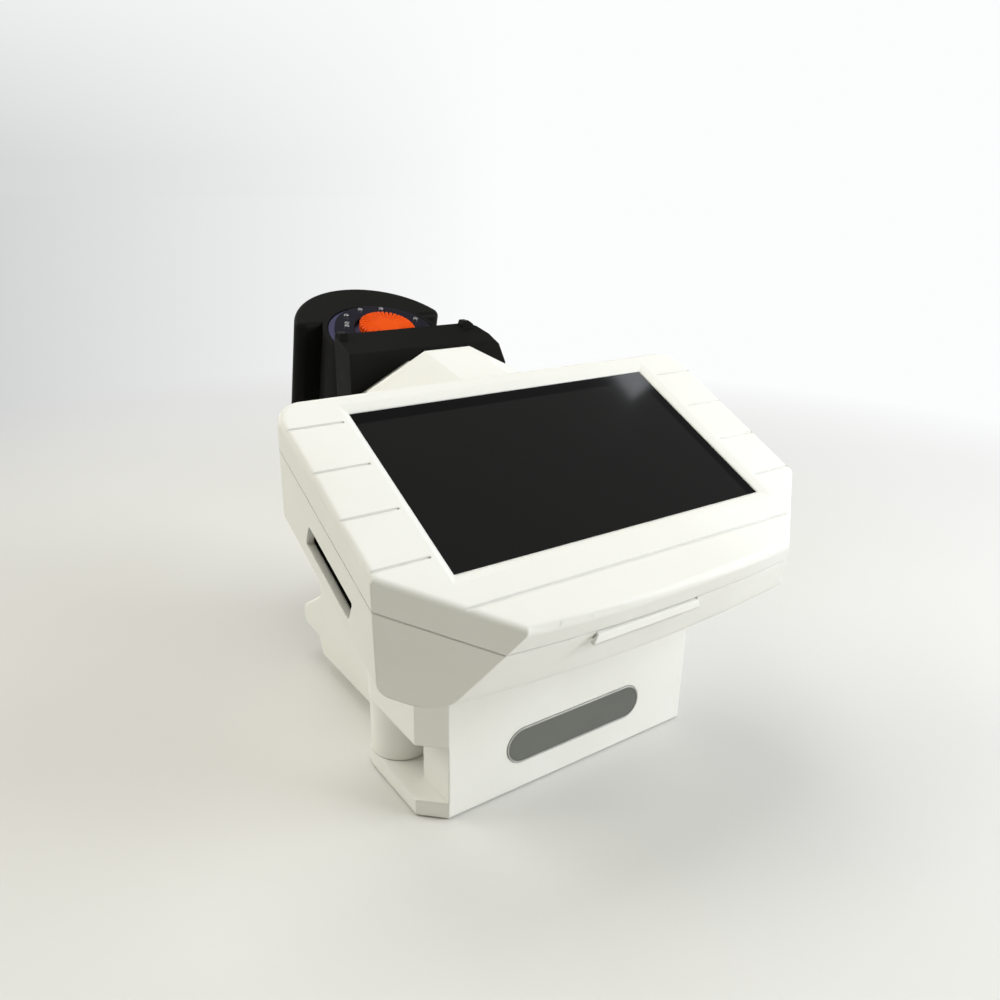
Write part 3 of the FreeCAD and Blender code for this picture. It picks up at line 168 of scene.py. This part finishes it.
def noise(tree, place, scale, detail=2.0, roughness=0.5):
    inputs = {"Vector": place, "Scale": scale, "Detail": detail, "Roughness": roughness}
    return add_node(tree, "ShaderNodeTexNoise", inputs).outputs["Fac"]


def spread(tree, value, low, high, out_low=0.0, out_high=1.0):
    inputs = {"Value": value, "From Min": low, "From Max": high, "To Min": out_low, "To Max": out_high}
    return add_node(tree, "ShaderNodeMapRange", inputs).outputs["Result"]


def mix_colour(tree, factor, first, second):
    made = add_node(tree, "ShaderNodeMix", data_type="RGBA")
    pairs = ((made.inputs[0], factor), (made.inputs[6], first), (made.inputs[7], second))
    for socket, value in pairs:
        if isinstance(value, bpy.types.NodeSocket):
            tree.links.new(value, socket)
        else:
            socket.default_value = value if isinstance(value, float) else rgba(value)
    return made.outputs[2]


def calculate(tree, operation, *values):
    made = add_node(tree, "ShaderNodeMath", operation=operation)
    for socket, value in zip(made.inputs, values):
        if isinstance(value, bpy.types.NodeSocket):
            tree.links.new(value, socket)
        else:
            socket.default_value = value
    return made.outputs[0]


def rounded_normal(tree, radius):
    return add_node(tree, "ShaderNodeBevel", {"Radius": radius}, samples=6).outputs["Normal"]


def edge_mask(tree, soft_normal):
    """1 on a rounded edge, lightened for wear and a painted sheen highlight, 0 on a flat face."""
    true_normal = add_node(tree, "ShaderNodeNewGeometry").outputs["Normal"]
    inputs = {0: soft_normal, 1: true_normal}
    cosine = add_node(tree, "ShaderNodeVectorMath", inputs, operation="DOT_PRODUCT").outputs["Value"]
    return spread(tree, cosine, 0.99, 0.80)


def bump(tree, height, distance, strength, normal):
    inputs = {"Height": height, "Distance": distance, "Strength": strength, "Normal": normal}
    return add_node(tree, "ShaderNodeBump", inputs).outputs["Normal"]


def moulded(name, colours, roughness, grain, grain_height, radius, specular):
    """Moulded plastic: fine mould grain, faint flow marks, handling smudges, and edges lightened for wear
    and a painted sheen highlight.
    """
    colour, shade, edge_wear_and_sheen = colours
    material, tree = new_material(name)
    place = object_coordinates(tree)
    soft = rounded_normal(tree, radius)
    edge = edge_mask(tree, soft)
    flow = spread(tree, noise(tree, place, FLOW_SCALE, 3.0), 0.35, 0.7)
    speck = spread(tree, noise(tree, place, SPECK_SCALE, 1.0), 0.62, 0.75, 0.0, 0.35)
    smudge = spread(tree, noise(tree, place, SMUDGE_SCALE, 4.0, 0.65), 0.4, 0.75)
    base = mix_colour(tree, flow, colour, shade)
    base = mix_colour(tree, speck, base, shade)
    # Rounded edges lightened: wear plus a painted sheen highlight
    base = mix_colour(tree, calculate(tree, "MULTIPLY", edge, 0.55), base, edge_wear_and_sheen)
    rough = calculate(tree, "MULTIPLY_ADD", smudge, 0.09, roughness)
    rough = calculate(tree, "MULTIPLY_ADD", edge, -0.08, rough)
    grained = bump(tree, noise(tree, place, grain, 2.0, 0.6), grain_height, 0.6, soft)
    waved = bump(tree, noise(tree, place, WAVE_SCALE, 1.0), WAVE_HEIGHT, 0.15, grained)
    inputs = {
        "Base Color": base,
        "Roughness": rough,
        "Normal": waved,
        "IOR": IOR,
        "Specular IOR Level": specular,
    }
    finish_material(tree, add_node(tree, "ShaderNodeBsdfPrincipled", inputs))
    return material


def white_plastic():
    colours = (WHITE, WHITE_SHADE, WHITE_EDGE_WEAR_AND_SHEEN)
    return moulded("white_plastic", colours, 0.45, WHITE_GRAIN_SCALE, GRAIN_HEIGHT, SHELL_EDGE, 0.4)


def black_plastic():
    colours = (BLACK, BLACK_SHADE, BLACK_EDGE_WEAR_AND_SHEEN)
    return moulded("black_plastic", colours, 0.42, BLACK_GRAIN_SCALE, BLACK_GRAIN_HEIGHT, SOFT_EDGE, 0.035)


def plain_moulded(name, colour, roughness, specular):
    shade = tuple(0.86 * part for part in colour)
    # Lighter edge colour: wear plus a painted sheen highlight
    edge_wear_and_sheen = tuple(min(1.0, 1.25 * part + 0.01) for part in colour)
    colours = (colour, shade, edge_wear_and_sheen)
    return moulded(name, colours, roughness, GRAIN_SCALE, GRAIN_HEIGHT, FINE_EDGE, specular)


def metal(name, colour, roughness):
    """Machined metal with fine turned or brushed lines."""
    material, tree = new_material(name)
    place = object_coordinates(tree)
    drawn = add_node(tree, "ShaderNodeMapping", {"Vector": place, "Scale": LINE_STRETCH}).outputs[0]
    soft = rounded_normal(tree, METAL_EDGE)
    lines = noise(tree, drawn, LINE_SCALE, 3.0)
    stain = spread(tree, noise(tree, place, STAIN_SCALE, 3.0), 0.35, 0.75)
    darker = tuple(0.7 * part for part in colour)
    base = mix_colour(tree, calculate(tree, "MULTIPLY", stain, 0.5), colour, darker)
    rough = calculate(tree, "MULTIPLY_ADD", stain, 0.15, roughness)
    inputs = {
        "Base Color": base,
        "Metallic": 1.0,
        "Roughness": rough,
        "Normal": bump(tree, lines, LINE_HEIGHT, 0.35, soft),
    }
    finish_material(tree, add_node(tree, "ShaderNodeBsdfPrincipled", inputs))
    return material


def screen_frame_position(tree):
    """Object coordinates turned into the screen's own frame: x along it, y up it, z out of it."""
    inputs = {
        "Vector": object_coordinates(tree),
        "Location": SCREEN_ORIGIN,
        "Rotation": (SCREEN_TILT, 0.0, 0.0),
    }
    turned = add_node(tree, "ShaderNodeMapping", inputs, vector_type="TEXTURE").outputs[0]
    return add_node(tree, "ShaderNodeSeparateXYZ", {0: turned})


def screen_glass():
    """Dark display glass: a painted shade band along its right and top edges for the sunk window's shadowed
    far walls, a slightly lighter panel behind it, faint smears.
    """
    material, tree = new_material("dark_glass")
    place = object_coordinates(tree)
    parts = screen_frame_position(tree)
    # Painted shade: a darker band at the right and top edges for the sunk window's shadowed far walls
    right = spread(tree, parts.outputs["X"], WALL_SHADE_RIGHT, WALL_SHADE_RIGHT + WALL_SHADE_BLUR)
    top = spread(tree, parts.outputs["Y"], WALL_SHADE_TOP, WALL_SHADE_TOP + WALL_SHADE_BLUR)
    wall_shade_band = calculate(tree, "MAXIMUM", right, top)
    smear = spread(tree, noise(tree, place, SMEAR_SCALE, 4.0, 0.6), 0.45, 0.8)
    base = mix_colour(tree, wall_shade_band, GLASS, GLASS_WALL_SHADE)
    rough = calculate(tree, "MULTIPLY_ADD", smear, 0.05, 0.07)
    inputs = {
        "Base Color": base,
        "Roughness": rough,
        "IOR": IOR,
        "Specular IOR Level": 0.18,
    }
    finish_material(tree, add_node(tree, "ShaderNodeBsdfPrincipled", inputs))
    return material


def circuit_board():
    """Solder-masked board with faint track lines."""
    material, tree = new_material("circuit_board")
    place = object_coordinates(tree)
    inputs = {"Vector": place, "Scale": TRACK_SCALE, "Mortar Size": TRACK_WIDTH}
    tracks = add_node(tree, "ShaderNodeTexBrick", inputs).outputs["Fac"]
    base = mix_colour(tree, tracks, BOARD_GREEN, TRACK_GREEN)
    stain = noise(tree, place, BOARD_STAIN_SCALE, 3.0)
    inputs = {
        "Base Color": base,
        "Roughness": spread(tree, stain, 0.3, 0.7, 0.3, 0.5),
        "Normal": bump(tree, tracks, TRACK_HEIGHT, 0.5, rounded_normal(tree, METAL_EDGE)),
    }
    finish_material(tree, add_node(tree, "ShaderNodeBsdfPrincipled", inputs))
    return material


def build_materials():
    made = {
        "white_shell": white_plastic(),
        "black_shell": black_plastic(),
        "screen_glass": screen_glass(),
        "board_green": circuit_board(),
    }
    for slot, (name, colour, roughness, specular) in PLASTICS.items():
        made[slot] = plain_moulded(name, colour, roughness, specular)
    for slot, (colour, roughness) in METALS.items():
        made[slot] = metal(slot, colour, roughness)
    return made


def dress_nodes(materials):
    """Each CAD node takes the material of its slot in the record."""
    slots = {}
    for entry in frame["record"]["subparts"]:
        slots[entry["node"]] = entry["material_slot"]
    for name, made in frame["nodes"].items():
        made.data.materials.clear()
        made.data.materials.append(materials[slots[name]])


def even_out(name):
    """Lets the large faces set the shading along a node's long, narrow fillets."""
    modifier = frame["nodes"][name].modifiers.new("even_shading", "WEIGHTED_NORMAL")
    modifier.weight = 100
    modifier.keep_sharp = True


def dot_with(tree, vector, direction):
    inputs = {0: vector, 1: direction}
    return add_node(tree, "ShaderNodeVectorMath", inputs, operation="DOT_PRODUCT").outputs["Value"]


def seen_directly(tree):
    """1 for what the camera sees, also in a mirror or through glass."""
    path = add_node(tree, "ShaderNodeLightPath")
    mirrored = calculate(tree, "MAXIMUM", path.outputs["Is Glossy Ray"], path.outputs["Is Transmission Ray"])
    return calculate(tree, "MAXIMUM", path.outputs["Is Camera Ray"], mirrored)


def near_floor(tree, place):
    cloud = spread(tree, noise(tree, place, 3.0, 2.0), 0.3, 0.7)
    base = mix_colour(tree, cloud, FLOOR_DARK, FLOOR_LIGHT)
    inputs = {"Base Color": base, "Roughness": 0.6, "Specular IOR Level": 0.2}
    return add_node(tree, "ShaderNodeBsdfPrincipled", inputs)


def far_floor(tree, place):
    """Painted light: glows brighter to the right and further off, and dimmer near the camera, as the studio
    light falls across the backdrop.
    """
    depth = calculate(tree, "ADD", dot_with(tree, place, FAR_SIDE), CAMERA_DEPTH)
    sideways = dot_with(tree, place, TO_RIGHT)
    slant = calculate(tree, "DIVIDE", sideways, calculate(tree, "MAXIMUM", depth, 0.1))
    # Painted light falloff: dimmer to the left and near the camera
    level = spread(tree, slant, -0.55, 0.0, LEFT_LEVEL, RIGHT_LEVEL)
    level = calculate(tree, "MULTIPLY", level, spread(tree, depth, 0.2, 0.95, 0.8, 1.0))
    return add_node(tree, "ShaderNodeEmission", {"Color": rgba(PALE), "Strength": level})


def build_floor():
    """A pale sweep: it keeps the object's shadow nearby and melts into the backdrop further off."""
    bpy.ops.mesh.primitive_plane_add(size=FLOOR_SIZE)
    floor = bpy.context.active_object
    floor.name = "studio_floor"
    material, tree = new_material("studio_floor")
    place = object_coordinates(tree)
    near = near_floor(tree, place)
    far = far_floor(tree, place)
    distance = add_node(tree, "ShaderNodeVectorMath", {0: place}, operation="LENGTH").outputs["Value"]
    fade = calculate(tree, "MULTIPLY", spread(tree, distance, FADE_START, FADE_END), seen_directly(tree))
    inputs = {0: fade, 1: near.outputs[0], 2: far.outputs[0]}
    finish_material(tree, add_node(tree, "ShaderNodeMixShader", inputs))
    floor.data.materials.append(material)


def area_light(name, place, aim, side, power, colour):
    light = bpy.data.lights.new(name, "AREA")
    light.shape = "RECTANGLE"
    light.size = side
    light.size_y = side
    light.energy = power
    light.color = colour
    made = bpy.data.objects.new(name, light)
    bpy.context.scene.collection.objects.link(made)
    made.location = place
    made.rotation_euler = (Vector(aim) - Vector(place)).to_track_quat("-Z", "Y").to_euler()
    return made


def build_lights():
    for lamp in LAMPS:
        area_light(*lamp)


def build_world():
    """A studio: pale low down where it is seen, dim overhead and, as a light, behind the camera."""
    world = bpy.data.worlds.new("studio_world")
    bpy.context.scene.world = world
    world.use_nodes = True
    tree = world.node_tree
    tree.nodes.clear()
    direction = add_node(tree, "ShaderNodeTexCoord").outputs["Generated"]
    height = add_node(tree, "ShaderNodeSeparateXYZ", {0: direction}).outputs["Z"]
    ahead = spread(tree, dot_with(tree, direction, FAR_SIDE), -0.1, 0.5)
    far = calculate(tree, "MAXIMUM", ahead, seen_directly(tree))
    low = spread(tree, height, 0.2, 0.45, 1.0, 0.0)
    left_level = spread(tree, height, 0.0, 0.15, 0.68, 0.86)
    right = spread(tree, dot_with(tree, direction, TO_RIGHT), -0.48, 0.0)
    gain = calculate(tree, "SUBTRACT", RIGHT_LEVEL, left_level)
    pale = calculate(tree, "MULTIPLY_ADD", gain, right, left_level)
    glow = calculate(tree, "MULTIPLY", pale, calculate(tree, "MULTIPLY", far, low))
    level = calculate(tree, "MAXIMUM", glow, spread(tree, height, 0.0, 0.6, 0.42, 0.24))
    colour = mix_colour(tree, far, WARM, PALE)
    back = add_node(tree, "ShaderNodeBackground", {"Color": colour, "Strength": level})
    add_node(tree, "ShaderNodeOutputWorld", {"Surface": back.outputs[0]})


def build_camera():
    camera = bpy.data.cameras.new("photo_camera")
    camera.lens = CAMERA_LENS
    camera.sensor_width = CAMERA_SENSOR
    camera.clip_start = CAMERA_NEAR
    camera.clip_end = CAMERA_FAR
    made = bpy.data.objects.new("photo_camera", camera)
    bpy.context.scene.collection.objects.link(made)
    back = CAMERA_RIGHT.cross(CAMERA_UP).normalized()
    right = CAMERA_RIGHT.normalized()
    up = back.cross(right)
    columns = Matrix((right, up, back)).transposed()
    made.matrix_world = Matrix.Translation(CAMERA_PLACE) @ columns.to_4x4()
    bpy.context.scene.camera = made


materials = build_materials()
dress_nodes(materials)
even_out("head_upper_shell")
build_floor()
build_lights()
build_world()
build_camera()
bpy.context.scene.view_settings.view_transform = "Standard"
